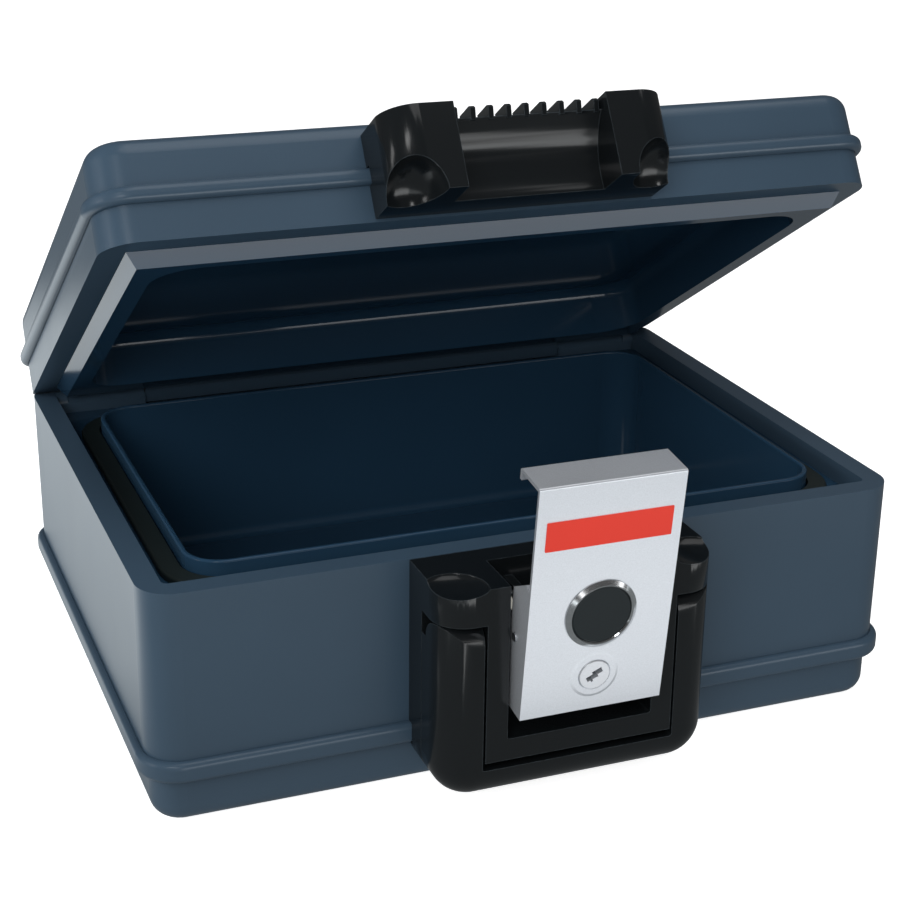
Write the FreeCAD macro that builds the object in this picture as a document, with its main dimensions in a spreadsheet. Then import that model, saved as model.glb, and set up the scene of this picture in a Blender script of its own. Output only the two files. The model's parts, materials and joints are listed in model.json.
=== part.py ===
import FreeCAD, Part
import itertools
import math
import os

import Sketcher

# A small fire-resistant document chest: an insulated base and lid on a rear hinge, a silver draw
# latch with a push button and a key lock, and a black swing handle around the latch.
# Frame: +X right, +Y back, +Z up, millimetres. The origin is the middle of the base's flat bottom.
# Lid pieces are modelled shut and latch pieces are modelled fastened. Their Placements then turn
# them to the rest pose, which is lid propped open and latch released.

doc = FreeCAD.newDocument("document_box")
sheet = doc.addObject("Spreadsheet::Sheet", "sizes")
sheet_rows = itertools.count(1)
helper_numbers = itertools.count(1)

TOUCH = 0.01
SQUARE = (None, None, None, None)


class Size:
    """A length with its value now and the expression that ties it to the sheet."""

    def __init__(self, value, text):
        self.value = float(value)
        self.text = text

    def __add__(self, other):
        return joined(self, "+", other)

    def __radd__(self, other):
        return joined(other, "+", self)

    def __sub__(self, other):
        return joined(self, "-", other)

    def __rsub__(self, other):
        return joined(other, "-", self)

    def __mul__(self, other):
        return joined(self, "*", other)

    def __rmul__(self, other):
        return joined(other, "*", self)

    def __truediv__(self, other):
        return joined(self, "/", other)

    def __neg__(self):
        return joined(0, "-", self)


def as_size(number):
    """Gives a plain number the same two sides as a Size."""
    if isinstance(number, Size):
        return number
    return Size(number, "(%r)" % float(number))


def joined(left, sign, right):
    """Joins two lengths with + - * or / in value and in expression."""
    left = as_size(left)
    right = as_size(right)
    if sign == "+":
        value = left.value + right.value
    elif sign == "-":
        value = left.value - right.value
    elif sign == "*":
        value = left.value * right.value
    else:
        value = left.value / right.value
    return Size(value, "(%s %s %s)" % (left.text, sign, right.text))


def driving(alias, value, note):
    """Puts one driving dimension in the sheet and returns it as a Size."""
    row = str(next(sheet_rows))
    sheet.set("A" + row, alias)
    sheet.set("B" + row, str(value))
    sheet.set("C" + row, note)
    sheet.setAlias("B" + row, alias)
    return Size(value, "sizes." + alias)


# ---------------------------------------------------------------- driving dimensions

WIDTH = driving("width", 362, "body width, left to right")
DEPTH = driving("depth", 275, "body depth, front to back")
BASE_TOP = driving("base_top", 111.5, "height of the parting plane between base and lid")
LID_TOP = driving("lid_top", 157, "height of the closed chest")
CORNER = driving("corner", 16, "radius of the upright body corners")
WALL = driving("wall", 3, "plastic wall")
SKIN = driving("skin", 2.5, "thinner plastic of the liners")
GAP = driving("gap", 0.2, "clearance between fixed pieces")

PAN_TOP = driving("pan_top", 33, "top of the bottom pan and of its bead")
PAN_INSET = driving("pan_inset", 2, "how far the pan stands inside the body outline")
PAN_EDGE = driving("pan_edge", 9, "rounding of the pan's bottom edge")
BEAD_WIDTH = driving("bead_width", 10, "height of the bead around the pan")
BEAD_PROUD = driving("bead_proud", 3.6, "how far a bead stands outside the body outline")
BEAD_ROUND = driving("bead_round", 3, "rounding of a bead's edges")
CAP_BOTTOM = driving("cap_bottom", 127.7, "bottom of the lid cap and of its bead")
CAP_BEAD = driving("cap_bead", 7.3, "height of the bead around the lid cap")
CAP_EDGE = driving("cap_edge", 8, "rounding of the lid's top edge")
SEAT = driving("seat", 5.8, "how far a wall reaches into a bead")

RIM = driving("rim", 11, "width of the flat rim at the sides and front")
RIM_STEP = driving("rim_step", 10.1, "depth of the step inside the base's rim")
LIP_SIDE = driving("lip_side", 154.5, "outside of the liner's lip from the middle plane")
LIP_FRONT = driving("lip_front", 112.5, "outside of the liner's lip, towards the front")
LIP_BACK = driving("lip_back", 95, "outside of the liner's lip, towards the back")
LIP_CORNER = driving("lip_corner", 18, "outer radius of the lip's corners")
CAVITY_FLOOR = driving("cavity_floor", 30, "height of the document cavity's floor")
CAVITY_CEILING = driving("cavity_ceiling", 131, "height of the lid's ceiling when shut")

HINGE_Y = driving("hinge_y", 126.4, "hinge axis behind the middle")
HINGE_Z = driving("hinge_z", 106, "height of the hinge axis")
KNUCKLE = driving("knuckle", 5.3, "reach of the angular hinge knuckles around the axis")
KNUCKLE_SWEEP = driving("knuckle_sweep", 6.2, "radius kept clear around the lid's knuckle")
BARREL_HALF = driving("barrel_half", 169, "half length of the whole hinge barrel")
LID_KNUCKLE_HALF = driving("lid_knuckle_half", 121.8, "half length of the lid's knuckle")
HINGE_PIN = driving("hinge_pin", 1.6, "radius of the hinge pin")
RUNNING = driving("running", 0.05, "radial clearance of a running fit")

TONGUE_SIDE = driving("tongue_side", 169.4, "outside of the lid's tongue at its root")
TONGUE_FRONT = driving("tongue_front", 124.5, "front of the lid's tongue at its root")
TONGUE_BACK = driving("tongue_back", 115, "back of the lid's tongue at its root")
TONGUE_DEPTH = driving("tongue_depth", 6.5, "how far the tongue hangs below the lid's rim")
TONGUE_SLOPE = driving("tongue_slope", 32, "slope of the tongue's outer wall in degrees")
GASKET_WIDTH = driving("gasket_width", 9, "width of the rubber gasket")
GASKET_HEIGHT = driving("gasket_height", 3.3, "height of the rubber gasket")

FRONT_HALF = driving("front_half", 65, "half width of the handle and of the black housings")
FRONT_PROUD = driving("front_proud", 39.5, "how far handle and centre frame stand forward")
PLATE_PROUD = driving("plate_proud", 15.5, "thickness of the escutcheon's back slab")
FRONT_ROUND = driving("front_round", 15, "rounding of the outer front edges")
FRONT_FOOT = driving("front_foot", 9.2, "height of the handle's bottom edge")
FOOT_CORNER = driving("foot_corner", 18, "corner radius of the handle's U")
FRAME_HALF = driving("frame_half", 44.3, "half width of the centre frame")
FRAME_FOOT = driving("frame_foot", 28.5, "bottom of the centre frame")
RECESS_HALF = driving("recess_half", 34.2, "half width of the latch recess")
RECESS_FOOT = driving("recess_foot", 38.8, "bottom of the latch recess")
RECESS_FLOOR = driving("recess_floor", 12, "forward distance of the recess's floor")
BLOCK_FOOT = driving("block_foot", 94.5, "underside of the handle's pivot blocks")
HANDLE_INNER = driving("handle_inner", 45.4, "inner side of the handle's arms")
HANDLE_BAR_TOP = driving("handle_bar_top", 24.9, "top of the handle's cross bar")
PIVOT_PROUD = driving("pivot_proud", 30, "forward distance of the handle's pivot")
PIVOT_Z = driving("pivot_z", 84.5, "height of the handle's pivot")
PIVOT_PIN = driving("pivot_pin", 2.5, "radius of a handle pivot pin")

HOUSING_PROUD = driving("housing_proud", 35.5, "how far the lid housing stands forward")
HOUSING_FOOT = driving("housing_foot", 112.7, "underside of the lid housing")
HOUSING_TOP = driving("housing_top", 149.9, "top of the lid housing")
TROUGH_HALF = driving("trough_half", 34.7, "half width of the trough between the end blocks")
TROUGH_RADIUS = driving("trough_radius", 31.8, "radius of the trough")
TROUGH_PROUD = driving("trough_proud", 47.5, "forward distance of the trough's axis")
TROUGH_Z = driving("trough_z", 119, "height of the trough's axis")
RIDGE_Z = driving("ridge_z", 144.6, "top of the ridge above the trough")
FIN_PITCH = driving("fin_pitch", 8.1, "distance between the fins on the ridge")
FIN_THICK = driving("fin_thick", 2.3, "thickness of a fin")
FIN_FRONT = driving("fin_front", 28.4, "forward distance of the fins' front feet")
FIN_BACK = driving("fin_back", 16.4, "forward distance of the fins' back ends")

LATCH_HALF = driving("latch_half", 33, "half width of the latch")
LATCH_PROUD = driving("latch_proud", 33.2, "forward distance of the fastened latch's face")
LATCH_TOP = driving("latch_top", 152.6, "top of the fastened latch")
LATCH_LENGTH = driving("latch_length", 111.8, "height of the latch's face")
LATCH_SHEET = driving("latch_sheet", 1.6, "metal thickness of the latch")
HOOK_DEPTH = driving("hook_depth", 19.5, "depth of the latch's top flange")
HOOK_LIP = driving("hook_lip", 5, "length of the hook's turned-down lip")
FLANGE_DEPTH = driving("flange_depth", 16.8, "depth of the latch's side flanges")
FLANGE_DROP = driving("flange_drop", 47.4, "highest point of a side flange below the latch's top")
FLANGE_PEAK = driving("flange_peak", 5.2, "that point's distance behind the latch's face")
FLANGE_BACK_DROP = driving("flange_back_drop", 55, "a flange's back corner below the latch's top")
LATCH_PIN_DEPTH = driving("latch_pin_depth", 11.7, "latch pin behind the latch's face")
LATCH_PIN_DROP = driving("latch_pin_drop", 76.7, "latch pin below the latch's top")
LATCH_PIN = driving("latch_pin", 2, "radius of the latch pin")
LINK_PROUD = driving("link_proud", 21.3, "forward distance of the latch links' fixed pivot")
LINK_Z = driving("link_z", 98.5, "height of the latch links' fixed pivot")
LINK_EYE = driving("link_eye", 4.2, "radius of a latch link's rounded ends")
BUTTON_DROP = driving("button_drop", 63.6, "button centre below the latch's top")
LUG_MIDDLE = driving("lug_middle", 24, "middle of the two lugs that hold the links' pin")
LUG_THICK = driving("lug_thick", 4, "thickness of those lugs")
BUTTON = driving("button", 13.5, "radius of the push button")
BUTTON_BACK = driving("button_back", 4.5, "back of the button's cap behind the latch's face")
STEM = driving("stem", 4, "radius of the button's stem")
GUIDE_BACK = driving("guide_back", 15.5, "back of the button's guide behind the latch's face")
GUIDE_HALF = driving("guide_half", 19, "half width of the button's guide")
BEZEL = driving("bezel", 16.5, "radius of the button's bezel")
LOCK_DROP = driving("lock_drop", 94.3, "key lock centre below the latch's top")
LOCK = driving("lock", 8.8, "radius of the lock barrel")
LOCK_BACK = driving("lock_back", 15, "back of the lock barrel behind the latch's face")
PLUG = driving("plug", 7.2, "radius of the lock's plug")
SPRING_WIRE = driving("spring_wire", 0.5, "radius of the spring wires")
SCREW_REACH = driving("screw_reach", 15, "length of the screws' shanks")
SCREW_SHANK = driving("screw_shank", 1.5, "radius of the screws' shanks")
SCREW_HEAD_RADIUS = driving("screw_head_radius", 3.5, "radius of the screws' heads")
SCREW_HEAD = driving("screw_head", 2, "thickness of the screws' heads")
KEYWAY_ANGLE = driving("keyway_angle", 25, "slope of the keyway in degrees")
LABEL_HALF = driving("label_half", 28.5, "half width of the plain label")
LABEL_HEIGHT = driving("label_height", 13.6, "height of the plain label")
LABEL_DROP = driving("label_drop", 16, "label's top below the latch's top")

REST_LID_ANGLE = driving("rest_lid_angle", 31.65, "how far the lid stands open at rest, degrees")
REST_LINK_ANGLE = driving("rest_link_angle", 63.85, "swing of the released latch's links, degrees")
REST_LATCH_ANGLE = driving("rest_latch_angle", 7.1, "tilt of the released latch, degrees")

doc.recompute()

# ---------------------------------------------------------------- derived places

SIDE = WIDTH / 2
BACK = DEPTH / 2
FACE = -BACK
LATCH_FACE = FACE - LATCH_PROUD
LATCH_PIN_Y = LATCH_FACE + LATCH_PIN_DEPTH
LATCH_PIN_Z = LATCH_TOP - LATCH_PIN_DROP
BUTTON_Z = LATCH_TOP - BUTTON_DROP
LOCK_Z = LATCH_TOP - LOCK_DROP
PIVOT_Y = FACE - PIVOT_PROUD
LINK_Y = FACE - LINK_PROUD
LEDGE_TOP = BASE_TOP - RIM_STEP
LINER_FLANGE = 1.5
SHELL_LEDGE_TOP = LEDGE_TOP - LINER_FLANGE
SHELL_LEDGE_BOTTOM = SHELL_LEDGE_TOP - WALL
STEP_BACK = HINGE_Y + KNUCKLE_SWEEP
LID_BACK_INNER = HINGE_Y - 4.4
SKIRT_TOP = CAP_BOTTOM + SEAT - 2
BLOCK_MIDDLE = FRAME_HALF + 12.5
BEYOND = 5


# ---------------------------------------------------------------- modelling helpers

def helper_name(kind):
    """Numbers the construction objects that are no sub-part of their own."""
    return "%s_%03d" % (kind, next(helper_numbers))


def bind(thing, path, length):
    """Binds one property to the sheet through a Size."""
    thing.setExpression(path, as_size(length).text)


def origin_plane(body, role):
    """Finds one of a body's own origin planes."""
    return next(plane for plane in body.Origin.OriginFeatures if plane.Role == role)


def sketch_on(body, role, offset, rise=0):
    """Starts a sketch on an origin plane, moved along its normal and along its own Y axis."""
    sketch = body.newObject("Sketcher::SketchObject", helper_name("sketch"))
    sketch.AttachmentSupport = [(origin_plane(body, role), "")]
    sketch.MapMode = "FlatFace"
    bind(sketch, "AttachmentOffset.Base.z", offset)
    bind(sketch, "AttachmentOffset.Base.y", rise)
    return sketch


def pin_point(sketch, geometry, point, x, y):
    """Holds one point of a sketch at (x, y) from the sketch's origin."""
    for kind, length in (("DistanceX", as_size(x)), ("DistanceY", as_size(y))):
        constraint = Sketcher.Constraint(kind, -1, 1, geometry, point, length.value)
        index = sketch.addConstraint(constraint)
        sketch.setExpression("Constraints[%d]" % index, length.text)


def draw_polygon(sketch, points):
    """Draws a closed outline of straight lines."""
    corners = [FreeCAD.Vector(as_size(x).value, as_size(y).value, 0) for x, y in points]
    count = len(corners)
    for index in range(count):
        line = Part.LineSegment(corners[index], corners[(index + 1) % count])
        sketch.addGeometry(line, False)
    for index, (x, y) in enumerate(points):
        before = (index - 1) % count
        sketch.addConstraint(Sketcher.Constraint("Coincident", before, 2, index, 1))
        pin_point(sketch, index, 1, x, y)


def draw_rounded(sketch, across, along, radii):
    """Draws a rectangle with a radius at each corner, from the lower left round to the left."""
    lows_and_highs = (
        (across[0], along[0], 180),
        (across[1], along[0], 270),
        (across[1], along[1], 0),
        (across[0], along[1], 90),
    )
    ends = []
    for (x, y, start), radius in zip(lows_and_highs, radii):
        if radius is None:
            ends.append((None, x, y))
            continue
        inward_x = radius if start in (180, 90) else -radius
        inward_y = radius if start in (180, 270) else -radius
        centre_x = as_size(x) + inward_x
        centre_y = as_size(y) + inward_y
        centre = FreeCAD.Vector(centre_x.value, centre_y.value, 0)
        circle = Part.Circle(centre, FreeCAD.Vector(0, 0, 1), as_size(radius).value)
        arc = Part.ArcOfCircle(circle, math.radians(start), math.radians(start + 90))
        index = sketch.addGeometry(arc, False)
        pin_point(sketch, index, 3, centre_x, centre_y)
        constraint = Sketcher.Constraint("Radius", index, as_size(radius).value)
        number = sketch.addConstraint(constraint)
        sketch.setExpression("Constraints[%d]" % number, as_size(radius).text)
        first_way = "Horizontal" if start in (180, 0) else "Vertical"
        second_way = "Vertical" if start in (180, 0) else "Horizontal"
        sketch.addConstraint(Sketcher.Constraint(first_way, index, 3, index, 1))
        sketch.addConstraint(Sketcher.Constraint(second_way, index, 3, index, 2))
        ends.append((index, x, y))
    for place, (index, x, y) in enumerate(ends):
        following, next_x, next_y = ends[(place + 1) % len(ends)]
        start_point = corner_end(sketch, index, x, y, "end")
        finish_point = corner_end(sketch, following, next_x, next_y, "start")
        line = sketch.addGeometry(Part.LineSegment(start_point, finish_point), False)
        hold_line_end(sketch, line, 1, index, 2, x, y)
        if following is not None:
            sketch.addConstraint(Sketcher.Constraint("Coincident", line, 2, following, 1))
        else:
            pin_point(sketch, line, 2, next_x, next_y)


def corner_end(sketch, arc, x, y, which):
    """Gives where a straight side meets a corner, which is round or sharp."""
    if arc is None:
        return FreeCAD.Vector(as_size(x).value, as_size(y).value, 0)
    curve = sketch.Geometry[arc]
    return curve.EndPoint if which == "end" else curve.StartPoint


def hold_line_end(sketch, line, point, arc, arc_point, x, y):
    """Ties a line's end to its corner's arc, or to the sharp corner's own place."""
    if arc is None:
        pin_point(sketch, line, point, x, y)
    else:
        sketch.addConstraint(Sketcher.Constraint("Coincident", line, point, arc, arc_point))


def pad(body, sketch, length, slope=None):
    """Pads a sketch along its plane's normal, with an optional draft."""
    feature = body.newObject("PartDesign::Pad", helper_name("pad"))
    feature.Profile = sketch
    bind(feature, "Length", length)
    if slope is not None:
        bind(feature, "TaperAngle", slope)
    doc.recompute()
    return feature


def slab(span, across, along, radii, role="XY_Plane", label=None, slope=None):
    """A plate with rounded upright corners, between two distances along a plane's normal."""
    body = doc.addObject("PartDesign::Body", label or helper_name("slab"))
    sketch = sketch_on(body, role, span[0])
    if isinstance(radii, tuple):
        draw_rounded(sketch, across, along, radii)
    else:
        draw_rounded(sketch, across, along, (radii,) * 4)
    pad(body, sketch, as_size(span[1]) - span[0], slope)
    return body


def prism(span, points, role="YZ_Plane", label=None):
    """A straight-sided profile extruded between two distances along a plane's normal."""
    body = doc.addObject("PartDesign::Body", label or helper_name("prism"))
    sketch = sketch_on(body, role, span[0])
    draw_polygon(sketch, points)
    pad(body, sketch, as_size(span[1]) - span[0])
    return body


def turned(points, centre_z, label=None):
    """A solid of revolution about an axis along Y, from (y, radius) points."""
    body = doc.addObject("PartDesign::Body", label or helper_name("turned"))
    sketch = sketch_on(body, "YZ_Plane", 0, centre_z)
    draw_polygon(sketch, points)
    feature = body.newObject("PartDesign::Revolution", helper_name("revolution"))
    feature.Profile = sketch
    feature.ReferenceAxis = (sketch, ["H_Axis"])
    feature.Angle = 360
    doc.recompute()
    return body


def round_edges(body, radius, chosen):
    """Rounds the edges of a body's tip that the chooser picks."""
    tip = body.Tip
    names = []
    for number, edge in enumerate(tip.Shape.Edges, 1):
        if chosen(edge.BoundBox, edge):
            names.append("Edge%d" % number)
    if not names:
        raise RuntimeError("no edge chosen on " + body.Label)
    feature = body.newObject("PartDesign::Fillet", helper_name("fillet"))
    feature.Base = (tip, names)
    bind(feature, "Radius", radius)
    doc.recompute()
    return body


def at_height(height):
    """Chooses the edges that lie in one level plane."""
    level = as_size(height).value
    return lambda box, edge: abs(box.ZMin - level) < TOUCH and abs(box.ZMax - level) < TOUCH


def block(x, y, z):
    """A box between three pairs of limits."""
    box = doc.addObject("Part::Box", helper_name("block"))
    for side, base, (low, high) in zip(("Length", "Width", "Height"), "xyz", (x, y, z)):
        bind(box, side, as_size(high) - low)
        bind(box, "Placement.Base." + base, low)
    return box


def rod(axis, span, first, second, radius, label=None):
    """A cylinder along X, Y or Z; first and second place its axis in the other two directions."""
    cylinder = doc.addObject("Part::Cylinder", label or helper_name("rod"))
    bind(cylinder, "Radius", radius)
    bind(cylinder, "Height", as_size(span[1]) - span[0])
    if axis == "x":
        cylinder.Placement.Rotation = FreeCAD.Rotation(FreeCAD.Vector(0, 1, 0), 90)
        places = (span[0], first, second)
    elif axis == "y":
        cylinder.Placement.Rotation = FreeCAD.Rotation(FreeCAD.Vector(1, 0, 0), -90)
        places = (first, span[0], second)
    else:
        places = (first, second, span[0])
    for base, place in zip("xyz", places):
        bind(cylinder, "Placement.Base." + base, place)
    return cylinder


def scoop(x, y, z, half_x, half_y, half_z):
    """A whole ellipsoid around a point."""
    ball = doc.addObject("Part::Ellipsoid", helper_name("scoop"))
    bind(ball, "Radius1", half_z)
    bind(ball, "Radius2", half_x)
    bind(ball, "Radius3", half_y)
    ball.Angle1 = -90
    ball.Angle2 = 90
    ball.Angle3 = 360
    for base, place in zip("xyz", (x, y, z)):
        bind(ball, "Placement.Base." + base, place)
    return ball


def both_sides(make):
    """Makes a thing on the left and on the right."""
    return [make(-1), make(1)]


def side_span(side, inner, outer):
    """Gives the X limits of a thing on one side, from its inner and outer distance."""
    if side < 0:
        return (-as_size(outer), -as_size(inner))
    return (as_size(inner), as_size(outer))


def fuse(things, label=None):
    """Joins several shapes into one."""
    feature = doc.addObject("Part::MultiFuse", label or helper_name("fuse"))
    feature.Shapes = things
    feature.Refine = True
    doc.recompute()
    return feature


def cut(base, tools, label=None):
    """Takes several shapes away from one, and checks that each of them bites."""
    for tool in tools:
        doc.recompute()
        if base.Shape.common(tool.Shape).Volume < TOUCH:
            raise RuntimeError("%s takes nothing from %s" % (tool.Name, base.Name))
    taken = tools[0] if len(tools) == 1 else fuse(tools)
    feature = doc.addObject("Part::Cut", label or helper_name("cut"))
    feature.Base = base
    feature.Tool = taken
    doc.recompute()
    return feature


def coil(label, axis, start, middle, radius, pitch, length):
    """A round-wire spring along X or Y; middle places its axis in the other two directions."""
    helix = doc.addObject("Part::Helix", helper_name("helix"))
    bind(helix, "Radius", radius)
    bind(helix, "Pitch", pitch)
    bind(helix, "Height", length)
    ring = doc.addObject("Part::Circle", helper_name("ring"))
    bind(ring, "Radius", SPRING_WIRE)
    ring.Placement.Rotation = FreeCAD.Rotation(FreeCAD.Vector(1, 0, 0), 90)
    bind(ring, "Placement.Base.x", radius)
    doc.recompute()
    spring = doc.addObject("Part::Sweep", label)
    spring.Sections = [ring]
    spring.Spine = (helix, ["Edge%d" % (number + 1) for number in range(len(helix.Shape.Edges))])
    spring.Solid = True
    spring.Frenet = True
    if axis == "x":
        spring.Placement.Rotation = FreeCAD.Rotation(FreeCAD.Vector(0, 1, 0), 90)
        places = (start, middle[0], middle[1])
    else:
        spring.Placement.Rotation = FreeCAD.Rotation(FreeCAD.Vector(1, 0, 0), -90)
        places = (middle[0], start, middle[1])
    for base, place in zip("xyz", places):
        bind(spring, "Placement.Base." + base, place)
    return spring


def body_outline(span, grow, label=None):
    """The chest's rounded outline, grown or shrunk, between two heights."""
    across = (-SIDE - grow, SIDE + grow)
    along = (-BACK - grow, BACK + grow)
    return slab(span, across, along, CORNER + grow, label=label)


def lip_outline(span, grow, label=None):
    """The liner's rounded opening, grown or shrunk, between two heights."""
    across = (-LIP_SIDE - grow, LIP_SIDE + grow)
    along = (-LIP_FRONT - grow, LIP_BACK + grow)
    return slab(span, across, along, LIP_CORNER + grow, label=label)


# ---------------------------------------------------------------- base

def make_base_shell():
    """Upper outside wall of the base with its flat rim, inner ledge and side hinge knuckles."""
    seat = PAN_TOP - SEAT
    wall = body_outline((seat, BASE_TOP), 0)
    rim_side = SIDE - RIM
    step = slab(
        (SHELL_LEDGE_TOP, BASE_TOP + BEYOND),
        (-rim_side, rim_side),
        (FACE + RIM, STEP_BACK),
        WALL,
    )
    hollow = body_outline((seat - BEYOND, SHELL_LEDGE_BOTTOM), -WALL)
    opening = lip_outline((SHELL_LEDGE_BOTTOM - BEYOND, SHELL_LEDGE_TOP + 1), GAP)
    drop = BACK + 1 - HINGE_Y
    bevel = prism(
        (-SIDE - BEYOND, SIDE + BEYOND),
        (
            (HINGE_Y, BASE_TOP),
            (HINGE_Y + drop, BASE_TOP - drop),
            (HINGE_Y + drop, BASE_TOP + 1),
            (HINGE_Y, BASE_TOP + 1),
        ),
    )
    clearance = LID_KNUCKLE_HALF + 2 * GAP
    channel = rod("x", (-clearance, clearance), HINGE_Y, HINGE_Z, KNUCKLE_SWEEP)
    screws = screw_holes(escutcheon_screw_places())
    carcass = cut(wall, [step, hollow, opening, bevel, channel] + screws)

    def knuckle(side):
        return prism(
            side_span(side, clearance, BARREL_HALF),
            (
                (HINGE_Y - KNUCKLE, SHELL_LEDGE_BOTTOM + 1),
                (HINGE_Y + KNUCKLE, SHELL_LEDGE_BOTTOM + 1),
                (HINGE_Y + KNUCKLE, HINGE_Z),
                (HINGE_Y, HINGE_Z + KNUCKLE),
                (HINGE_Y - KNUCKLE, HINGE_Z),
            ),
        )

    def end_boss(side):
        reach = side_span(side, BARREL_HALF - KNUCKLE, SIDE)
        whole = rod("x", reach, HINGE_Y, HINGE_Z, BASE_TOP - HINGE_Z - RUNNING)
        outline = body_outline((BASE_TOP - 2 * KNUCKLE_SWEEP, BASE_TOP), 0)
        boss = doc.addObject("Part::MultiCommon", helper_name("boss"))
        boss.Shapes = [whole, outline]
        return boss

    joined_up = fuse([carcass] + both_sides(knuckle) + both_sides(end_boss))
    return cut(joined_up, [hinge_bore()], "base_shell")


def hinge_bore():
    """The long hole for the hinge pin."""
    reach = BARREL_HALF + 1
    return rod("x", (-reach, reach), HINGE_Y, HINGE_Z, HINGE_PIN + RUNNING)


def make_base_bottom_pan():
    """Bottom tray of the base with the rounded bead that holds the upper wall."""
    bead_foot = PAN_TOP - BEAD_WIDTH
    tray = body_outline((0, bead_foot + WALL), -PAN_INSET)
    round_edges(tray, PAN_EDGE, at_height(0))
    bead = body_outline((bead_foot, PAN_TOP), BEAD_PROUD)
    round_edges(bead, BEAD_ROUND, at_height(bead_foot))
    round_edges(bead, BEAD_ROUND, at_height(PAN_TOP))
    inset = PAN_INSET + WALL
    hollow = body_outline((WALL, PAN_TOP - SEAT + 1), -inset)
    round_edges(hollow, PAN_EDGE - WALL, at_height(WALL))
    seat = body_outline((PAN_TOP - SEAT - GAP / 2, PAN_TOP + 1), GAP)
    return cut(fuse([tray, bead]), [hollow, seat], "base_bottom_pan")


def make_base_insulation():
    """Cast fire-resistant filling between the base's outside and its liner."""
    inset = PAN_INSET + WALL + GAP
    filling = body_outline((WALL + GAP, SHELL_LEDGE_BOTTOM - GAP), -inset)
    round_edges(filling, PAN_EDGE - WALL - GAP, at_height(WALL + GAP))
    room = lip_outline((CAVITY_FLOOR - SKIN - GAP, BASE_TOP), GAP)
    return cut(filling, [room], "base_insulation")


def make_base_liner():
    """Inner tub with its upstanding lip and the flange that rests on the ledge."""
    tub = lip_outline((CAVITY_FLOOR - SKIN, BASE_TOP - GAP), 0)
    round_edges(tub, SKIN * 3, at_height(CAVITY_FLOOR - SKIN))
    rim_side = SIDE - RIM - GAP
    flange = slab(
        (SHELL_LEDGE_TOP, LEDGE_TOP),
        (-rim_side, rim_side),
        (FACE + RIM + GAP, HINGE_Y - KNUCKLE_SWEEP - GAP),
        WALL,
    )
    hollow = lip_outline((CAVITY_FLOOR, BASE_TOP + 1), -SKIN)
    round_edges(hollow, SKIN * 2, at_height(CAVITY_FLOOR))
    raw = cut(fuse([tub, flange]), [hollow])
    liner = doc.addObject("Part::Fillet", "base_liner")
    liner.Base = raw
    crest = at_height(BASE_TOP - GAP)
    picked = [n for n, edge in enumerate(raw.Shape.Edges, 1) if crest(edge.BoundBox, edge)]
    crest_round = SKIN.value * 0.4
    liner.Edges = [(number, crest_round, crest_round) for number in picked]
    return liner


def make_base_gasket():
    """Rubber seal in the channel around the liner's lip."""
    ring = lip_outline((LEDGE_TOP, LEDGE_TOP + GASKET_HEIGHT), GASKET_WIDTH + 1)
    round_edges(ring, GASKET_HEIGHT * 0.45, at_height(LEDGE_TOP + GASKET_HEIGHT))
    hole = lip_outline((LEDGE_TOP - 1, LEDGE_TOP + GASKET_HEIGHT + 1), 1)
    return cut(ring, [hole], "base_gasket")


def make_hinge_pin():
    """Steel rod through all three knuckles."""
    reach = BARREL_HALF - 0.5
    return rod("x", (-reach, reach), HINGE_Y, HINGE_Z, HINGE_PIN, "hinge_pin")


# ---------------------------------------------------------------- escutcheon and handle

def escutcheon_screw_places():
    """Middles of the four screws that hold the escutcheon."""
    low = FRAME_FOOT + 20
    high = BLOCK_FOOT - 8
    across = FRAME_HALF + 10
    return [(side * across, height) for height in (low, high) for side in (-1, 1)]


def lid_screw_places():
    """Middles of the four screws that hold the lid's housing."""
    low = HOUSING_FOOT + 8
    high = HOUSING_TOP - 7
    across = FRAME_HALF + 4
    return [(side * across, height) for height in (low, high) for side in (-1, 1)]


def screw_set(places, label):
    """Pan-head screws driven forwards from inside the front wall."""
    inside = FACE + WALL
    screws = []
    for across, height in places:
        head = rod("y", (inside, inside + SCREW_HEAD), across, height, SCREW_HEAD_RADIUS)
        shank = rod("y", (inside - SCREW_REACH, inside), across, height, SCREW_SHANK)
        screws.append(fuse([head, shank]))
    group = doc.addObject("Part::Compound", label)
    group.Links = screws
    return group


def screw_holes(places):
    """Clearance holes for a set of screws."""
    inside = FACE + WALL
    span = (inside - SCREW_REACH - 1, inside + 1)
    return [rod("y", span, across, height, SCREW_SHANK + RUNNING) for across, height in places]


def front_span(near, far):
    """Distances along the front plane's normal between two forward distances."""
    return (BACK + near, BACK + far)


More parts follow.
